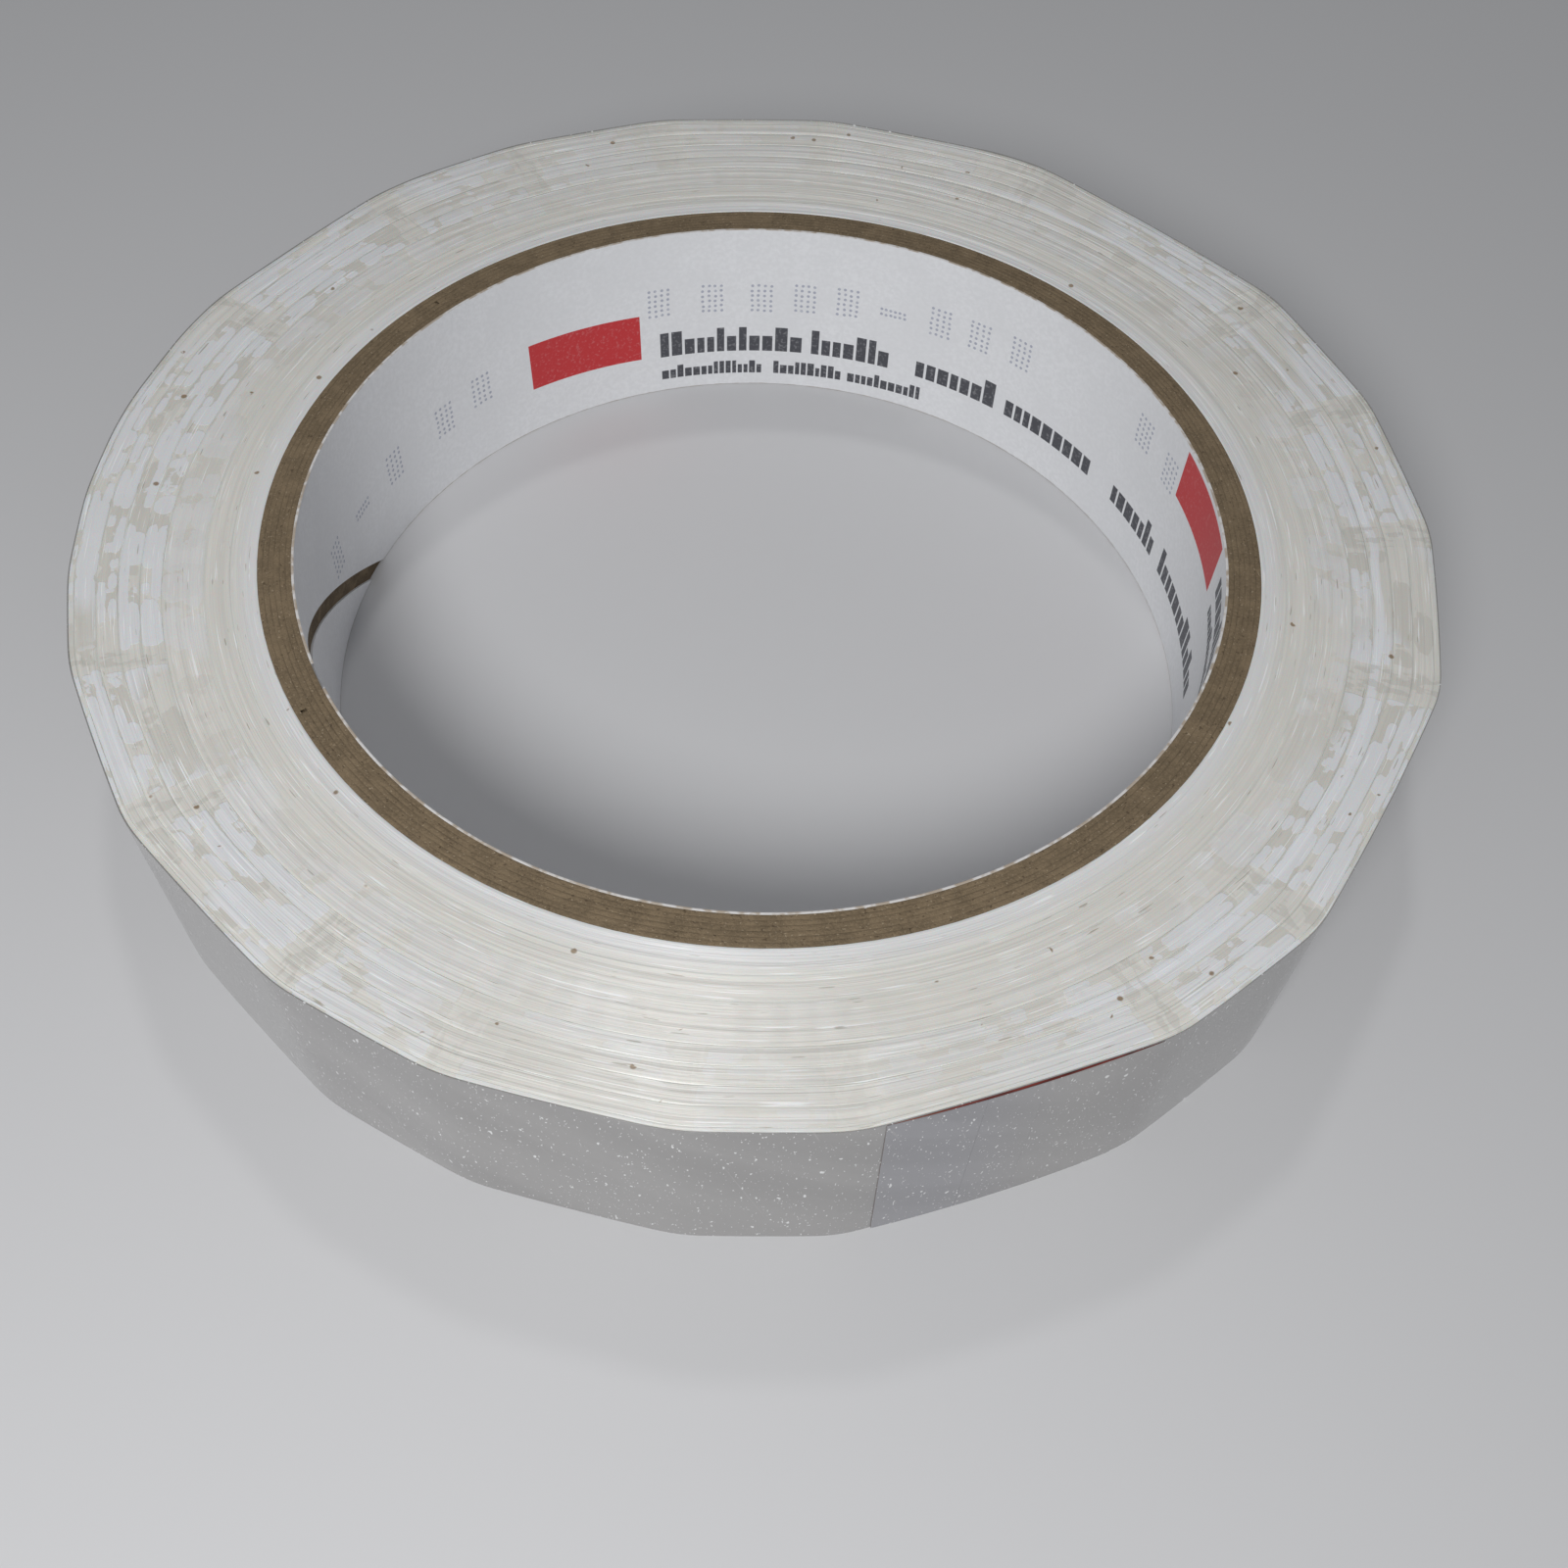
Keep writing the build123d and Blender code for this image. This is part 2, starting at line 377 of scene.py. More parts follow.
def wound_tape_material():
    """The wound tape's cut edges: fine turns, painted glints of highlight, and milky and clear islands in the
    bands.
    """
    c = colours()
    s = Shade("wound_tape_edges", 0.34, Subsurface_Weight=0.1, Subsurface_Scale=0.0006,
              Coat_Weight=0.16, Coat_Roughness=0.2, Anisotropic=0.9, Specular_IOR_Level=0.75)
    # The turns draw a highlight out along the radius, as the grooves of a brushed disc do.
    s.put(s.outward(), s.shader.inputs["Tangent"])
    radius = s.radius()
    core_end, milky_end = 41.4, 43.4
    fine = s.noise(s.along_turns(14, 0.16), detail=3)
    coarse = s.noise(s.along_turns(16, 0.8), detail=2, shift=11)
    base = s.mix(s.step(fine, 0.34, 0.68), scaled(c.tape, 0.945), scaled(c.tape, 1.045))
    base = s.mix(s.math("MULTIPLY", s.step(coarse, 0.42, 0.62), 0.4), base, scaled(c.tape, 0.93))
    base = s.mix(s.math("MULTIPLY", s.step(radius, milky_end, core_end), 0.6), base, c.tape_milky)

    soft = s.mark("softness")
    sides = s.math("ABSOLUTE", s.vector_part(s.place(), "X"))
    loose = s.math("MULTIPLY", soft, s.math("MULTIPLY_ADD", s.step(sides, 8, 40), 0.65, 0.35))
    patchy = s.step(s.noise(s.along_turns(15, 6.0), detail=1, shift=23), 0.36, 0.50)
    clear = s.math("MULTIPLY", islands(s, 4.5, 1.0, 67, 0.47, 0.485), s.math("MULTIPLY", loose, 0.55))
    base = s.mix(clear, base, c.tape_clear)
    wide = islands(s, 3.4, 1.0, 5, 0.50, 0.52)
    narrow = islands(s, 3.0, 2.0, 19, 0.475, 0.495)
    milky = s.math("MULTIPLY", s.math("MAXIMUM", wide, narrow), patchy)
    base = s.mix(s.math("MULTIPLY", milky, s.math("MULTIPLY", loose, 0.85)), base, c.tape_milky)

    # One turn stands open along the right of the roll and shows as a pale weaving line.
    weave_width, weave_start = 1.6, 49.6
    weave = s.math("MULTIPLY_ADD", s.noise(s.around(9), detail=2, shift=47), weave_width, weave_start)
    open_turn = s.step(s.math("ABSOLUTE", s.math("SUBTRACT", radius, weave)), 0.42, 0.28)
    open_turn = s.math("MULTIPLY", open_turn, s.step(s.vector_part(s.place(), "X"), 12, 28))
    base = s.mix(s.math("MULTIPLY", open_turn, 0.8), base, scaled(c.tape_milky, 1.05))

    lines = s.step(s.noise(s.along_turns(0.8, 2.2), detail=2, shift=31), 0.50, 0.54)
    aside = s.math("MULTIPLY_ADD", s.step(sides, 10, 34), 0.7, 0.3)
    fold = s.math("MULTIPLY", s.step(s.mark("crease"), 0.84, 1.0), aside)
    crease = s.math("MULTIPLY", fold, s.math("MULTIPLY_ADD", lines, 0.36, 0.08))
    base = s.mix(crease, base, scaled(c.tape_clear, 0.88))
    off_middle = s.math("ABSOLUTE", s.math("MULTIPLY_ADD", s.mark("share"), 2.0, -1.0))
    groove = s.step(off_middle, 0.80, 1.0)
    broken = s.step(s.noise(s.along_turns(7.0, 1.0), shift=43), 0.38, 0.60)
    open_groove = s.math("MULTIPLY", broken, s.math("MULTIPLY_ADD", soft, 0.30, 0.10))
    groove = s.math("MULTIPLY", groove, open_groove)
    base = s.mix(groove, base, scaled(c.tape_clear, 0.95))

    # Painted highlights: short white glints along the turns, painted into the colour.
    painted_glint = s.step(s.noise(s.along_turns(4.2, 0.09), detail=0, shift=41), 0.72, 0.78)
    base = s.mix(s.math("MULTIPLY", painted_glint, 0.65), base, (0.96, 0.97, 0.98))
    dash = s.step(s.noise(s.along_turns(2.2, 0.13), detail=0, shift=53), 0.80, 0.84)
    base = s.mix(s.math("MULTIPLY", dash, 0.6), base, (0.27, 0.24, 0.18))
    speck = s.math("MULTIPLY", s.step(s.cells(s.place(), 0.33), 0.10, 0.06),
                   s.step(s.noise(s.place(), 0.8, shift=61), 0.53, 0.57))
    base = s.mix(s.math("MULTIPLY", speck, 0.85), base, (0.24, 0.15, 0.07))
    s.colour(base)
    s.rough(s.math("MULTIPLY_ADD", fine, 0.20, 0.22))
    relief = s.math("ADD", fine, s.math("MULTIPLY", milky, s.math("MULTIPLY", loose, 0.25)))
    s.bump(relief, 0.00007, 0.7)
    return s.material


def film_material():
    """Glossy film round the outside, its grey a painted shade, with dust and fine scuffs, greyer where it covers
    the red tab.
    """
    c = colours()
    s = Shade("tape_film", 0.2, Coat_Weight=0.5, Coat_Roughness=0.08, Coat_IOR=1.5)
    cloud = s.noise(s.along_turns(9, 8, 6), detail=3)
    # The base grey is darker than the film itself: painted shade and painted reflection on the outer wall.
    base = s.mix(s.step(cloud, 0.35, 0.68), scaled(c.film, 0.92), scaled(c.film, 1.08))
    over_tab = s.step(s.mark("along"), 0.25, 0.8)
    end = s.mix(s.step(cloud, 0.38, 0.62), scaled(c.film_end, 0.94), scaled(c.film_end, 1.08))
    base = s.mix(over_tab, base, end)
    tall = s.vector("MULTIPLY", s.place(), (1, 1, 0.5))
    for scale, shift, low in ((6.5, 7, 0.71), (3.4, 13, 0.72), (1.9, 29, 0.75)):
        dust = s.step(s.noise(tall, scale, detail=1, shift=shift), low, low + 0.03)
        base = s.mix(s.math("MULTIPLY", dust, 0.8), base, (0.85, 0.86, 0.86))
    scuff = s.step(s.noise(s.along_turns(0.3, 8, 1.1), detail=1, shift=19), 0.72, 0.76)
    base = s.mix(s.math("MULTIPLY", scuff, 0.3), base, scaled(c.film, 1.5))
    s.colour(base)
    s.rough(s.math("MULTIPLY_ADD", cloud, 0.16, 0.12))
    s.bump(s.noise(s.along_turns(7, 8, 12), detail=2, shift=3), 0.00012, 0.45)
    return s.material


def board_material(wall):
    """Kraft board: fibres round the core, pale flecks, dark bits and a dark line between plies."""
    c = colours()
    s = Shade("kraft_board_plies", 0.86, Specular_IOR_Level=0.25)
    fibre = s.noise(s.along_turns(0.8, 0.14, 0.8), detail=3)
    grain = s.noise(s.place(), 5.5, detail=3, roughness=0.65, shift=27)
    patchy = s.noise(s.place(), 0.55, detail=3, shift=3)
    base = s.mix(s.step(fibre, 0.32, 0.70), scaled(c.board, 0.86), scaled(c.board, 1.14))
    base = s.mix(s.math("MULTIPLY", s.step(grain, 0.42, 0.60), 0.75), scaled(c.board, 0.74), base)
    base = s.mix(s.math("MULTIPLY", s.step(patchy, 0.40, 0.66), 0.5), base, scaled(c.board, 1.18))
    fleck = s.step(s.noise(s.along_turns(0.32, 0.2, 0.4), detail=1, shift=9), 0.66, 0.74)
    base = s.mix(s.math("MULTIPLY", fleck, 0.5), base, (0.46, 0.37, 0.26))
    bit = s.step(s.noise(s.along_turns(0.42, 0.2, 0.4), detail=1, shift=17), 0.66, 0.74)
    base = s.mix(s.math("MULTIPLY", bit, 0.65), base, (0.055, 0.036, 0.022))
    plies = s.math("FRACT", s.math("DIVIDE", s.math("SUBTRACT", s.radius(), LINER_OUTER / MM), wall / MM))
    line = s.step(s.math("ABSOLUTE", s.math("SUBTRACT", plies, 0.5)), 0.36, 0.49)
    broken = s.step(s.noise(s.along_turns(4.0, 0.5), detail=2, shift=37), 0.36, 0.56)
    line = s.math("MULTIPLY", line, s.math("MULTIPLY_ADD", broken, 0.42, 0.08))
    base = s.mix(line, base, scaled(c.board, 0.35))
    s.colour(base)
    s.bump(s.math("ADD", grain, s.math("MULTIPLY", fleck, 0.4)), 0.00009, 0.8)
    return s.material


def paper_material():
    """White satin paper of the core's lining, its cut edges torn to show a little brown."""
    c = colours()
    s = Shade("lining_paper", 0.48, Specular_IOR_Level=0.4)
    fibre = s.noise(s.place(), 2.4, detail=4, shift=2)
    cloud = s.noise(s.place(), 0.16, detail=2, shift=8)
    base = s.mix(s.step(fibre, 0.35, 0.70), scaled(c.paper, 0.955), scaled(c.paper, 1.02))
    base = s.mix(s.math("MULTIPLY", s.step(cloud, 0.42, 0.64), 0.5), base, scaled(c.paper, 0.94))
    height = s.vector_part(s.place(), "Z")
    half_width = (TOP - MIDDLE) / MM
    from_middle = s.math("ABSOLUTE", s.math("SUBTRACT", height, MIDDLE / MM))
    rim = s.step(from_middle, half_width - 0.145, half_width - 0.025)
    torn = s.step(s.noise(s.place(), 1.1, detail=2, shift=71), 0.40, 0.60)
    bare = s.math("MULTIPLY", rim, s.math("MULTIPLY_ADD", torn, 0.55, 0.25))
    base = s.mix(bare, base, scaled(c.board, 1.6))
    s.colour(base)
    s.rough(s.math("MULTIPLY_ADD", fibre, 0.2, 0.38))
    s.bump(fibre, 0.00004, 0.4)
    return s.material


def ink_material(name, colour, wear):
    """Ink on paper, thinner in places so that a little paper shows."""
    s = Shade(name, 0.5)
    thin = s.noise(s.place(), 3.2, detail=3)
    s.colour(s.mix(s.math("MULTIPLY", s.step(thin, 0.52, 0.70), wear), colour, colours().paper))
    s.rough(s.math("MULTIPLY_ADD", thin, 0.2, 0.4))
    s.bump(thin, 0.00002, 0.3)
    return s.material


def tab_material():
    """Dark red tab, worn to orange near its end."""
    tab = colours().tab
    s = Shade("end_tab_film", 0.3)
    shade = s.noise(s.along_turns(2.2, 0.1, 4), detail=2)
    base = s.mix(s.step(shade, 0.36, 0.66), scaled(tab, 0.5), scaled(tab, 1.6))
    near_end = s.step(s.mark("along"), 0.72, 0.98)
    worn = s.math("MULTIPLY", near_end, s.math("MULTIPLY_ADD", shade, 0.6, 0.2))
    s.colour(s.mix(worn, base, (0.50, 0.13, 0.05)))
    s.bump(shade, 0.00004, 0.4)
    return s.material


# ---- Shape helpers ----

def wall_radii(node, steps):
    """A ring node's inner and outer radius at each step round the axis, read from the frame."""
    mesh = frame["nodes"][node].data
    corners = [v.co.copy() for v in mesh.vertices]
    faces = [tuple(p.vertices) for p in mesh.polygons]
    tree = BVHTree.FromPolygons(corners, faces)
    inner, outer = [], []
    for i in range(steps):
        angle = 2 * math.pi * i / steps
        way = Vector((math.cos(angle), math.sin(angle), 0))
        centre = Vector((0, 0, MIDDLE))
        near, far = tree.ray_cast(centre, way)[0], tree.ray_cast(centre + way, -way)[0]
        inner.append(near.xy.length)
        outer.append(far.xy.length)
    return inner, outer


def smoothed(values, reach):
    """A closed run of values, each averaged with its neighbours on both sides."""
    count = len(values)
    return [sum(values[(i + k) % count] for k in range(-reach, reach + 1)) / (2 * reach + 1)
            for i in range(count)]


def crease_marks(outline):
    """1 at each corner of an outline and 0 along its sides."""
    count, gain = len(outline), 2.2
    bends = [max(0.0, 2 * outline[i] - outline[i - 1] - outline[(i + 1) % count]) for i in range(count)]
    strongest = max(bends) or 1.0
    return [min(1.0, gain * b / strongest) for b in bends]


def at_angle(values, angle):
    """A closed run of values read between its steps."""
    spot = (angle % (2 * math.pi)) / (2 * math.pi) * len(values)
    low = int(spot) % len(values)
    part = spot - int(spot)
    return values[low] * (1 - part) + values[(low + 1) % len(values)] * part


def keep_places(mesh, places):
    """Stores each vertex's place at rest, in millimetres, for the materials."""
    attribute = mesh.attributes.new("place", "FLOAT_VECTOR", "POINT")
    attribute.data.foreach_set("vector", [x for p in places for x in p])


def in_order(bm):
    """Puts the faces in the order of their corners, because an extrusion leaves them in no fixed order."""
    bm.verts.index_update()
    step = 4 * len(bm.verts)

    def rank(face):
        corners = [v.index for v in face.verts]
        return min(corners) * step + sum(corners)

    bm.faces.sort(key=rank)


def finished(name, bm, material, body, nodes=()):
    """Turns a bmesh into a piece that rides on a body and stands for its CAD nodes."""
    in_order(bm)
    mesh = bpy.data.meshes.new(name)
    bm.to_mesh(mesh)
    bm.free()
    mesh.materials.append(material)
    mesh.shade_smooth()
    mesh.set_sharp_from_angle(angle=EDGE_ANGLE)
    piece = bpy.data.objects.new(name, mesh)
    bpy.context.scene.collection.objects.link(piece)
    if body:
        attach(piece, body)
    if nodes:
        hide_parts(*nodes)
    return piece


def polar(radius, angle, height):
    return Vector((radius * math.cos(angle), radius * math.sin(angle), height))


# ---- Paper core ----

def rolled_strip(inner, wall, seam_angle, gap, rows, seed):
    """A flat strip with slanted ends, given its thickness and rolled to a tube open along its seam."""
    size = sizes()
    width = TOP - BOTTOM
    length = 2 * math.pi * inner - gap / math.sin(size.seam_slope)
    bm = bmesh.new()
    bmesh.ops.create_grid(bm, x_segments=size.steps, y_segments=rows, size=0.5)
    bmesh.ops.translate(bm, verts=bm.verts[:], vec=(0, 0.5, 0))
    bmesh.ops.scale(bm, verts=bm.verts[:], vec=(length, width, 1))
    for side in (size.edge_rounding, width - size.edge_rounding):
        bmesh.ops.bisect_plane(bm, geom=bm.verts[:] + bm.edges[:] + bm.faces[:],
                               plane_co=(0, side, 0), plane_no=(0, 1, 0))
    raised = bmesh.ops.extrude_face_region(bm, geom=bm.faces[:])["geom"]
    outside = [g for g in raised if isinstance(g, bmesh.types.BMVert)]
    bmesh.ops.translate(bm, verts=outside, vec=(0, 0, wall))
    places = []
    for v in bm.verts:
        along, up, depth = v.co
        slant = (up - width / 2) / math.tan(size.seam_slope)
        if up < 1e-7 or up > width - 1e-7:
            inward = min(size.edge_rounding, wall * 0.2)
            depth += inward if depth < wall / 2 else -inward
            worn = size.cut_wear * (0.5 + 0.5 * noise.noise(Vector((along * 900, seed, up * 50))))
            up += worn if up < width / 2 else -worn
        v.co = polar(inner + depth, seam_angle + math.pi + (along + slant) / inner, BOTTOM + up)
        places.append(v.co / MM)
    bmesh.ops.recalc_face_normals(bm, faces=bm.faces[:])
    return bm, places


class TAPEROLL_OT_core_plies(bpy.types.Operator):
    """Roll the kraft board plies of the core, each from a strip with slanted ends"""

    bl_idname = "taperoll.core_plies"
    bl_label = "Core plies"

    def execute(self, context):
        size = sizes()
        wall = (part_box(PLIES[-1])[1].x - LINER_OUTER) / len(PLIES)
        board = board_material(wall)
        for i, node in enumerate(PLIES):
            seam = size.liner_seam + (i + 1) * size.ply_seam_step
            rows = size.rows if i == 0 else size.rows // 4
            inner = LINER_OUTER + i * wall
            bm, places = rolled_strip(inner, wall, seam, size.ply_gap, rows, seed=i * 3.7)
            piece = finished(f"board_ply_{i + 1}", bm, board, "roll", [node])
            keep_places(piece.data, places)
        return {"FINISHED"}


class TAPEROLL_OT_core_liner(bpy.types.Operator):
    """Roll the white paper lining, open along its helical seam"""

    bl_idname = "taperoll.core_liner"
    bl_label = "Core lining"

    def execute(self, context):
        size = sizes()
        wall = LINER_OUTER - BORE
        bm, places = rolled_strip(BORE, wall, size.liner_seam, size.liner_gap, size.rows, seed=91.0)
        piece = finished("lining_paper_strip", bm, paper_material(), "roll", ["core_liner"])
        keep_places(piece.data, places)
        return {"FINISHED"}


# ---- Marks printed on the lining: plain blocks and dots, with no lettering ----

def printed(name, shapes, material):
    """Ink shapes drawn flat as (angle, height) in radians and metres, thickened and laid on the lining."""
    thickness = sizes().print_depth
    bm = bmesh.new()
    for shape in shapes:
        shape(bm)
    raised = bmesh.ops.extrude_face_region(bm, geom=bm.faces[:])["geom"]
    top = [g for g in raised if isinstance(g, bmesh.types.BMVert)]
    bmesh.ops.translate(bm, verts=top, vec=(0, 0, thickness))
    for v in bm.verts:
        along, up, depth = v.co
        v.co = polar(BORE - depth, along / BORE, up)
    bmesh.ops.recalc_face_normals(bm, faces=bm.faces[:])
    places = [v.co / MM for v in bm.verts]
    piece = finished(name, bm, material, "roll")
    keep_places(piece.data, places)
    return piece


def block(angle, height, long, tall, lean=0.0):
    """A block of ink, centred at an angle in degrees and a height in millimetres."""
    def draw(bm):
        longest_step = 0.8
        parts = max(1, round(long / longest_step))
        made = bmesh.ops.create_grid(bm, x_segments=parts, y_segments=1, size=0.5)["verts"]
        for v in made:
            x, y = v.co.x * long, v.co.y * tall
            v.co = Vector((math.radians(angle) * BORE + x * MM, (height + y + lean * x) * MM, 0))
    return draw


def dot(angle, height, across):
    def draw(bm):
        made = bmesh.ops.create_circle(bm, cap_ends=True, segments=6, radius=across / 2 * MM)["verts"]
        bmesh.ops.translate(bm, verts=made, vec=(math.radians(angle) * BORE, height * MM, 0))
    return draw


def word_blocks(span, base, bars, rng):
    """A row of short bars between two angles, about as long and dark as a word."""
    (start, end), (low, high) = span, bars
    tall_share, space = 0.28, 0.3 * low / 2.0
    blocks, angle = [], start
    degrees_per_mm = math.degrees(MM / BORE)
    while angle > end:
        long = rng.uniform(0.75, 1.35) * low / 2.0
        height = high if rng.random() < tall_share else low
        middle = angle - long * degrees_per_mm / 2
        blocks.append(block(middle, base + height / 2, long, height))
        angle -= (long + space) * degrees_per_mm
    return blocks


def dot_block(angle, height, across, tall, rng, columns=4, rows=6):
    """A block of sprayed dots in an even grid."""
    degrees_per_mm, stray = math.degrees(MM / BORE), 0.05
    dots = []
    for i in range(columns):
        for j in range(rows):
            x = (i / (columns - 1) - 0.5) * across + rng.uniform(-stray, stray)
            y = (j / (rows - 1) - 0.5) * tall + rng.uniform(-stray, stray)
            dots.append(dot(angle - x * degrees_per_mm, height + y, DOT_ACROSS))
    return dots


class TAPEROLL_OT_print_marks(bpy.types.Operator):
    """Print the lining with plain red blocks, rows of dark bars and pale dots"""

    bl_idname = "taperoll.print_marks"
    bl_label = "Printed marks"

    def execute(self, context):
        c = colours()
        rng = random.Random(7)
        reds = [block(*place_and_size) for place_and_size in RED_BLOCKS]
        printed("print_red_blocks", reds, ink_material("red_ink", c.red, 0.10))
        words = [word_blocks(span, BOLD_BASE, BOLD_BARS, rng) for span in BOLD_WORDS]
        words += [word_blocks(span, SMALL_BASE, SMALL_BARS, rng) for span in SMALL_WORDS]
        words.append(word_blocks(FAR_BOLD_WORD, FAR_BOLD_BASE, BOLD_BARS, rng))
        words.append(word_blocks(FAR_SMALL_WORD, FAR_SMALL_BASE, SMALL_BARS, rng))
        bars = [bar for word in words for bar in word]
        printed("print_word_blocks", bars, ink_material("dark_ink", c.ink, 0.18))
        grids = [dot_block(angle, height, 1.9, 3.0, rng) for angle, height in DOT_GRIDS]
        grids += [dot_block(angle, height, 2.4, 0.6, rng, columns=6, rows=2) for angle, height in DOT_DASHES]
        dots = [one for grid in grids for one in grid]
        printed("print_dot_blocks", dots, ink_material("dot_ink", c.dot_ink, 0.35))
        return {"FINISHED"}


# ---- Wound tape ----

def face_profile(count, groove_in, groove_out, rng):
    """Points across one face of a wound ring, a step for each layer: share of the wall and drop."""
    relief, lip, tilt = sizes().layer_relief, 0.16, 0.35
    points = []
    for i in range(count):
        drop = relief * rng.random()
        points.append((i + lip, drop))
        points.append((i + 1 - lip, drop + relief * tilt * rng.random()))
    points.insert(0, (0, points[0][1] + groove_in))
    points.append((count, points[-1][1] + groove_out))
    return [(spot / count, drop) for spot, drop in points]


def groove_depths(index):
    """Depth of the groove at a ring's inner and outer edge: shallow between the tight packs."""
    size = sizes()
    shallow = size.groove_depth * 0.25
    inner = size.groove_depth if index == 0 or index > 2 else shallow
    outer = size.groove_depth if 1 < index < len(WOUND) - 1 else shallow
    return inner, outer


def wound_ring(index, boundaries, soft):
    """A ring of turns: a grid wrapped round the axis, whose rows follow a layered profile."""
    size = sizes()
    rng = random.Random(100 + index)
    inner, outer = boundaries[index], boundaries[index + 1]
    mean_in, mean_out = sum(inner) / len(inner), sum(outer) / len(outer)
    count = max(2, round((mean_out - mean_in) / size.layer))
    upper = [(*p, TOP, -1) for p in face_profile(count, *groove_depths(index), rng)]
    lower = [(*p, BOTTOM, 1) for p in face_profile(count, *groove_depths(index), rng)]
    profile = upper + lower[::-1]
    bm = bmesh.new()
    bmesh.ops.create_grid(bm, x_segments=size.steps, y_segments=len(profile), size=0.5)
    crease = crease_marks(smoothed(outer, 1))
    place = bm.verts.layers.float_vector.new("place")
    across, fold = bm.verts.layers.float.new("share"), bm.verts.layers.float.new("crease")
    for v in bm.verts:
        angle = 2 * math.pi * (round((v.co.x + 0.5) * size.steps) % size.steps) / size.steps
        share, drop, level, inward = profile[round((v.co.y + 0.5) * len(profile)) % len(profile)]
        low, high = at_angle(inner, angle), at_angle(outer, angle)
        mean = mean_in + share * (mean_out - mean_in)
        v[fold] = at_angle(crease, angle) * soft
        v[across] = share
        wander = noise.noise(Vector((math.cos(angle) * 4.2, math.sin(angle) * 4.2, mean * 3200)))
        slow = noise.noise(Vector((math.cos(angle) * 1.5, math.sin(angle) * 1.5, mean * 700 + 9)))
        drop += size.layer_relief * ((0.5 + 0.5 * wander) * 0.9 + (0.5 + 0.5 * slow) * soft)
        drop += size.crease_depth * v[fold] * (0.55 + 0.45 * wander)
        v.co = polar(low + share * (high - low), angle, level + inward * drop)
        v[place] = polar(mean, angle, v.co.z) / MM
    bmesh.ops.remove_doubles(bm, verts=bm.verts[:], dist=1e-8)
    bmesh.ops.recalc_face_normals(bm, faces=bm.faces[:])
    return bm


class TAPEROLL_OT_winding(bpy.types.Operator):
    """Wind the tape: tight round packs near the core, then softer bands that follow the creased outline"""

    bl_idname = "taperoll.winding"
    bl_label = "Wound tape"

    def execute(self, context):
        size = sizes()
        material = wound_tape_material()
        boundaries = [wall_radii(WOUND[0], size.steps)[0]]
        for node in WOUND:
            boundaries.append(smoothed(wall_radii(node, size.steps)[1], size.crease_round))
        for i, node in enumerate(WOUND):
            soft = min(1.0, max(0.0, (i - 1.0) / 2.0))
            piece = finished(node.replace("tape", "wound"), wound_ring(i, boundaries, soft), material,
                             "roll", [node])
            for name, value in (("softness", soft), ("ring", i)):
                attribute = piece.data.attributes.new(name, "FLOAT", "POINT")
                attribute.data.foreach_set("value", [value] * len(attribute.data))
        return {"FINISHED"}


# ---- The last turn, the free end and its tab ----

def film_shell(inner, outer, steps, rows, start, end, top_end, wave):
    """A film strip between two angles, as a shell that follows its inner and outer radius functions."""
    bm = bmesh.new()
    bmesh.ops.create_grid(bm, x_segments=steps, y_segments=rows, size=0.5)
    raised = bmesh.ops.extrude_face_region(bm, geom=bm.faces[:])["geom"]
    upper = set(g for g in raised if isinstance(g, bmesh.types.BMVert))
    places = []
    for v in bm.verts:
        share, up = 0.5 - v.co.x, v.co.y + 0.5
        last = end + (top_end - end) * up
        angle = start + (last - start) * share
        radius = outer(angle) if v in upper else inner(angle)
        radius += wave(angle, up)
        v.co = polar(radius, angle, BOTTOM + up * (TOP - BOTTOM))
        places.append(v.co / MM)
    bmesh.ops.recalc_face_normals(bm, faces=bm.faces[:])
    return bm, places


class TAPEROLL_OT_last_turn(bpy.types.Operator):
    """Lay the last turn of glossy film round the roll"""

    bl_idname = "taperoll.last_turn"
    bl_label = "Last turn"

    def execute(self, context):
        size = sizes()
        inner, outer = wall_radii("tape_last_turn", size.steps)
        inner, outer = smoothed(inner, size.crease_round), smoothed(outer, size.crease_round)
        hinge = Vector(HINGES[0]["pos_m"])
        root = math.atan2(hinge.y, hinge.x)

        def wave(angle, up):
            dent = noise.noise(Vector((math.cos(angle) * 7, math.sin(angle) * 7, up * 1.6)))
            return -FILM_DENT * (1 + dent)

        start, end = root + 2 * math.pi - LAST_TURN_GAP, root + LAST_TURN_GAP
        bm, places = film_shell(lambda a: at_angle(inner, a), lambda a: at_angle(outer, a),
                                size.steps, FILM_ROWS, start, end, end, wave)
        piece = finished("last_turn_film", bm, film_material(), "roll", ["tape_last_turn"])
        keep_places(piece.data, places)
        return {"FINISHED"}


def free_end_layout():
    """The hinges' angles, the end's angle at its bottom and top edge, and the last turn's outer radius."""
    size = sizes()
    outer = smoothed(wall_radii("tape_last_turn", size.steps)[1], size.crease_round)
    angles = [math.atan2(j["pos_m"][1], j["pos_m"][0]) for j in HINGES]
    tip = [v.co for v in frame["nodes"][ENDS[-1]].data.vertices]
    bottom = min(math.atan2(v.y, v.x) for v in tip if v.z < MIDDLE)
    top = min(math.atan2(v.y, v.x) for v in tip if v.z > MIDDLE)
    return angles, bottom, top, outer


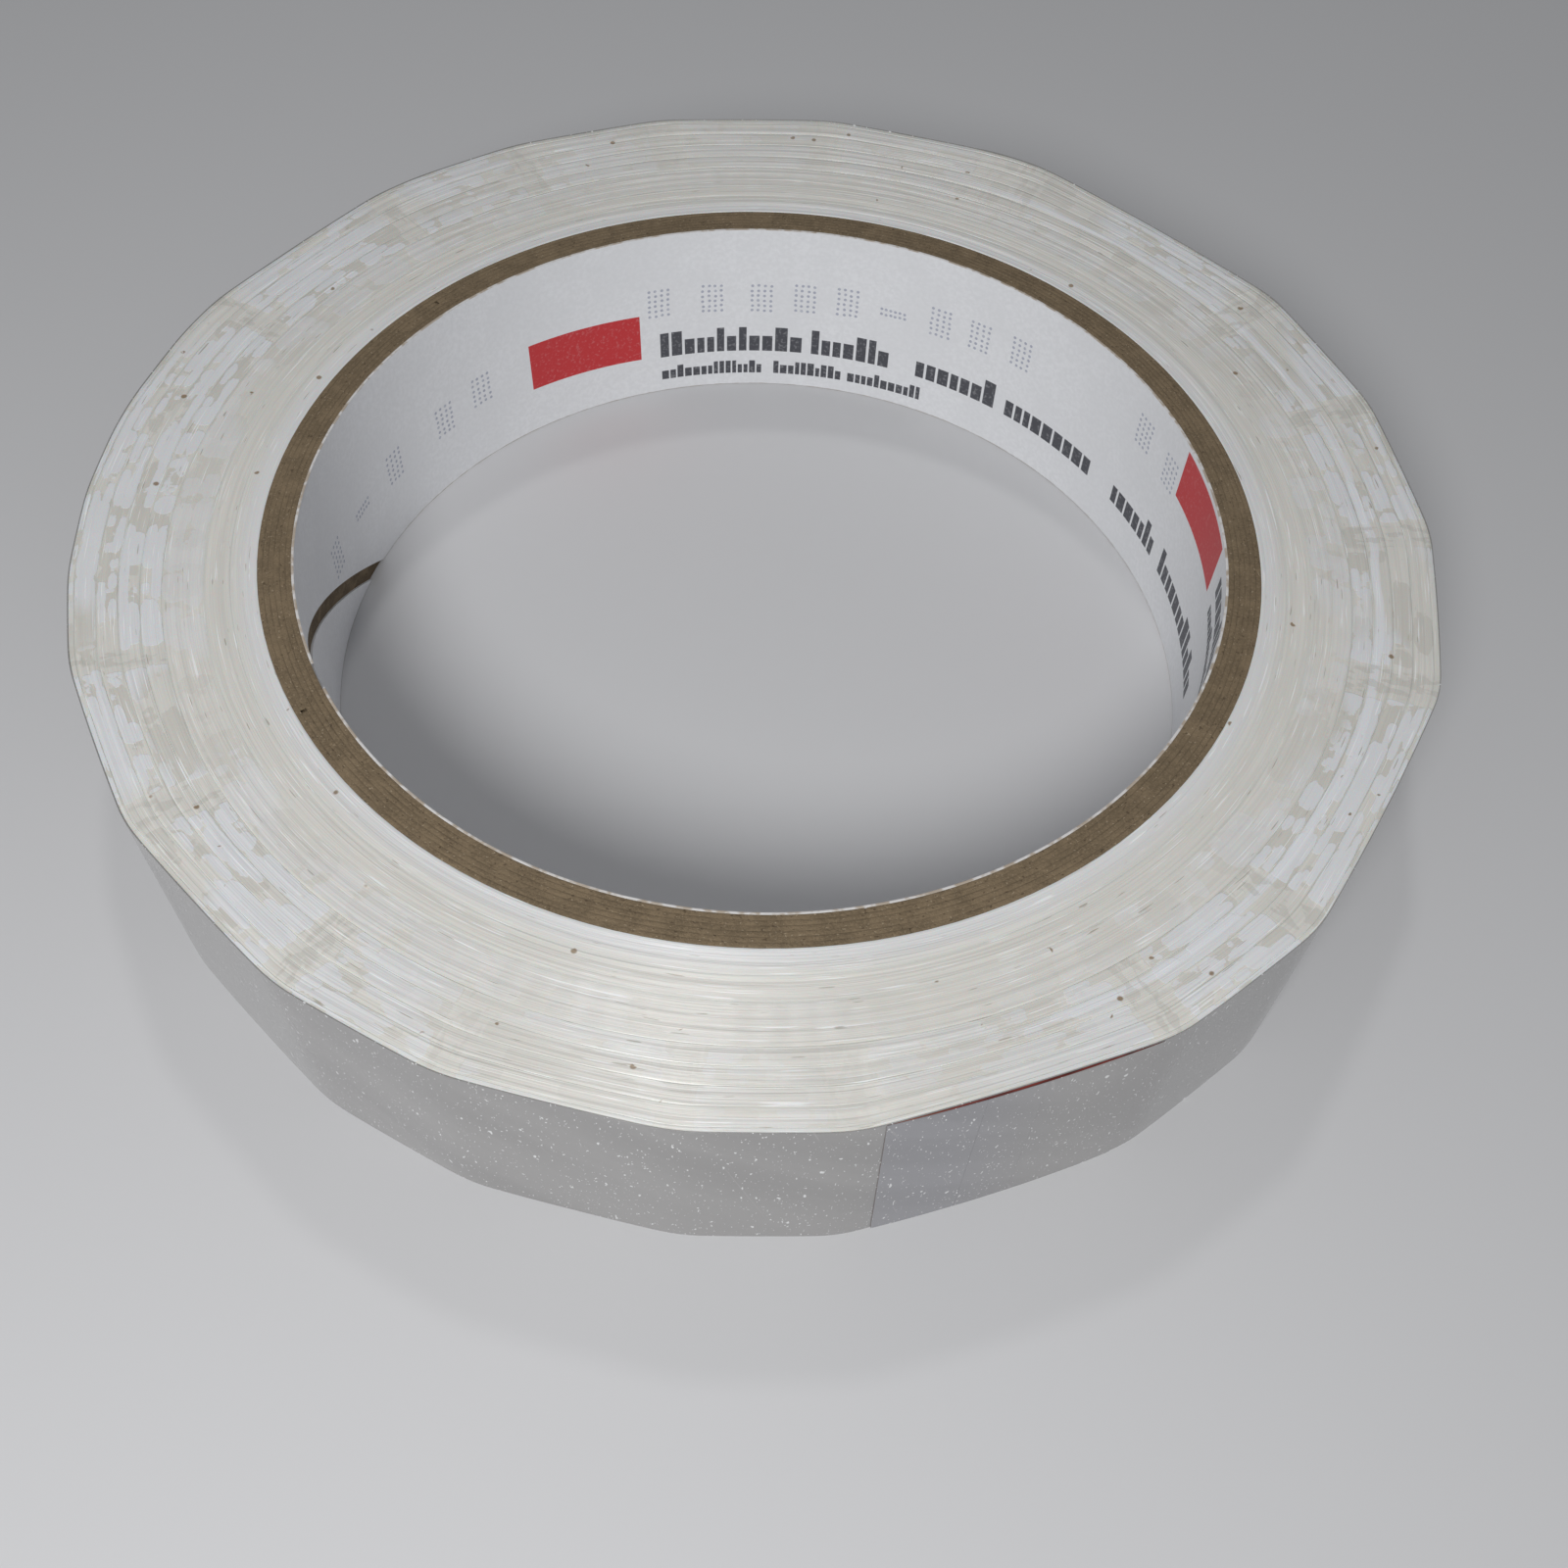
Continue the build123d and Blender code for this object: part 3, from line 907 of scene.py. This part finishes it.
def hinged_strip(part, under, over, material, nodes):
    """The free end or its tab, as pieces that meet between two hinges, each laid round one.

    under and over give the strip's two faces above the last turn, from its root (0) to its end (1).
    """
    angles, bottom, top, outer = free_end_layout()
    half = (angles[0] - angles[1]) / 2
    root = angles[0] + half
    for i, angle in enumerate(angles):
        last = i == len(angles) - 1

        def radius(at, lift):
            return at_angle(outer, at) + lift(min(1.0, (root - at) / (root - bottom)))

        cut = (bottom, top) if last else (angle - half, angle - half)
        bm, places = film_shell(lambda a: radius(a, under), lambda a: radius(a, over),
                                FREE_END_STEPS, FILM_ROWS, angle + half, *cut, lambda a, up: 0.0)
        piece = finished(f"{part}_{i + 1}", bm, material, None, [nodes[i]])
        keep_places(piece.data, places)
        along = piece.data.attributes.new("along", "FLOAT", "POINT")
        spots = [(root - math.atan2(y, x)) / (root - bottom) for x, y, _ in places]
        along.data.foreach_set("value", spots)
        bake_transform(piece)


def tab_thickness(share):
    """Thickness under the free end's film, greatest in the middle and thin at both ends."""
    return TAB_EDGE + TAB_BULGE * math.sin(math.pi * min(1.0, max(0.0, share))) ** 0.8


class TAPEROLL_OT_free_end(bpy.types.Operator):
    """Lay the tape's free end over its tab"""

    bl_idname = "taperoll.free_end"
    bl_label = "Free end"

    def execute(self, context):
        size = sizes()

        def under(share):
            return tab_thickness(share) + FILM_CLEARANCE

        def over(share):
            return under(share) + size.film_wall * min(1.0, 0.1 + share * 6)

        hinged_strip("free_end_film", under, over, film_material(), ENDS)
        return {"FINISHED"}


class TAPEROLL_OT_end_tab(bpy.types.Operator):
    """Lay the red end tab under the free end"""

    bl_idname = "taperoll.end_tab"
    bl_label = "End tab"

    def execute(self, context):
        hinged_strip("end_tab_strip", lambda share: TAB_CLEARANCE, tab_thickness,
                     tab_material(), TABS)
        return {"FINISHED"}


# ---- Stage ----

def soft_light(name, place, across, power):
    """A round soft light that shines on the middle of the floor."""
    data = bpy.data.lights.new(name, "AREA")
    data.shape = "DISK"
    data.size = across
    data.energy = power
    light = bpy.data.objects.new(name, data)
    light.location = place
    light.rotation_euler = (-Vector(place)).to_track_quat("-Z", "Y").to_euler()
    bpy.context.scene.collection.objects.link(light)


class TAPEROLL_OT_stage(bpy.types.Operator):
    """Set the pale floor, the soft studio lights and the camera"""

    bl_idname = "taperoll.stage"
    bl_label = "Stage"

    def execute(self, context):
        studio = context.scene.tape_roll_studio
        bm = bmesh.new()
        bmesh.ops.create_grid(bm, x_segments=1, y_segments=1, size=3.0)
        mesh = bpy.data.meshes.new("floor")
        bmesh.ops.translate(bm, verts=bm.verts[:], vec=(0, 0, BOTTOM))
        bm.to_mesh(mesh)
        bm.free()
        shade = Shade("floor_paper", 0.7)
        shade.colour((*studio.floor, 1.0))
        mesh.materials.append(shade.material)
        floor = bpy.data.objects.new("floor", mesh)
        context.scene.collection.objects.link(floor)

        soft_light("key_light", (-0.05, -0.21, 0.20), across=0.10, power=0.53)
        soft_light("back_light", (-0.03, 0.26, 0.60), across=0.06, power=0.35)
        world = bpy.data.worlds.new("studio")
        world.use_nodes = True
        sky = world.node_tree.nodes["Background"]
        sky.inputs["Color"].default_value = (0.92, 0.94, 0.97, 1)
        sky.inputs["Strength"].default_value = 0.23
        context.scene.world = world

        data = bpy.data.cameras.new("camera")
        data.lens = studio.lens
        data.sensor_width = 36.0
        data.clip_start = 0.005
        camera = bpy.data.objects.new("camera", data)
        flat = math.cos(studio.tilt)
        forward = (math.sin(studio.heading) * flat, math.cos(studio.heading) * flat, -math.sin(studio.tilt))
        ahead = Vector(forward)
        level = Vector((math.cos(studio.heading), -math.sin(studio.heading), 0))
        above = level.cross(ahead)
        right = math.cos(studio.roll) * level + math.sin(studio.roll) * above
        up = math.cos(studio.roll) * above - math.sin(studio.roll) * level
        turn = Matrix((right, up, -ahead)).transposed()
        camera.matrix_world = Matrix.Translation(Vector(studio.eye)) @ turn.to_4x4()
        context.scene.collection.objects.link(camera)
        context.scene.camera = camera
        context.scene.view_settings.view_transform = "Standard"
        return {"FINISHED"}


OPERATORS = (
    TAPEROLL_OT_core_liner, TAPEROLL_OT_core_plies, TAPEROLL_OT_print_marks, TAPEROLL_OT_winding,
    TAPEROLL_OT_last_turn, TAPEROLL_OT_end_tab, TAPEROLL_OT_free_end, TAPEROLL_OT_stage,
)


class TAPEROLL_PT_panel(bpy.types.Panel):
    bl_idname = "TAPEROLL_PT_panel"
    bl_label = "Tape roll"
    bl_space_type = "VIEW_3D"
    bl_region_type = "UI"
    bl_category = "Tape roll"

    def draw(self, context):
        for operator in OPERATORS:
            self.layout.operator(operator.bl_idname)
        for group in ("tape_roll_sizes", "tape_roll_colours", "tape_roll_studio"):
            box = self.layout.box()
            settings = getattr(context.scene, group)
            for name in settings.__annotations__:
                box.prop(settings, name)


GROUPS = {
    "tape_roll_sizes": TapeRollSizes,
    "tape_roll_colours": TapeRollColours,
    "tape_roll_studio": TapeRollStudio,
}


def register():
    for cls in (*GROUPS.values(), *OPERATORS, TAPEROLL_PT_panel):
        bpy.utils.register_class(cls)
    for name, cls in GROUPS.items():
        setattr(bpy.types.Scene, name, PointerProperty(type=cls))


def unregister():
    for name in GROUPS:
        delattr(bpy.types.Scene, name)
    for cls in (TAPEROLL_PT_panel, *reversed(OPERATORS), *reversed(list(GROUPS.values()))):
        bpy.utils.unregister_class(cls)


def main():
    register()
    bpy.ops.taperoll.core_liner()
    bpy.ops.taperoll.core_plies()
    bpy.ops.taperoll.print_marks()
    bpy.ops.taperoll.winding()
    bpy.ops.taperoll.last_turn()
    bpy.ops.taperoll.end_tab()
    bpy.ops.taperoll.free_end()
    bpy.ops.taperoll.stage()


if __name__ == "__main__":
    main()
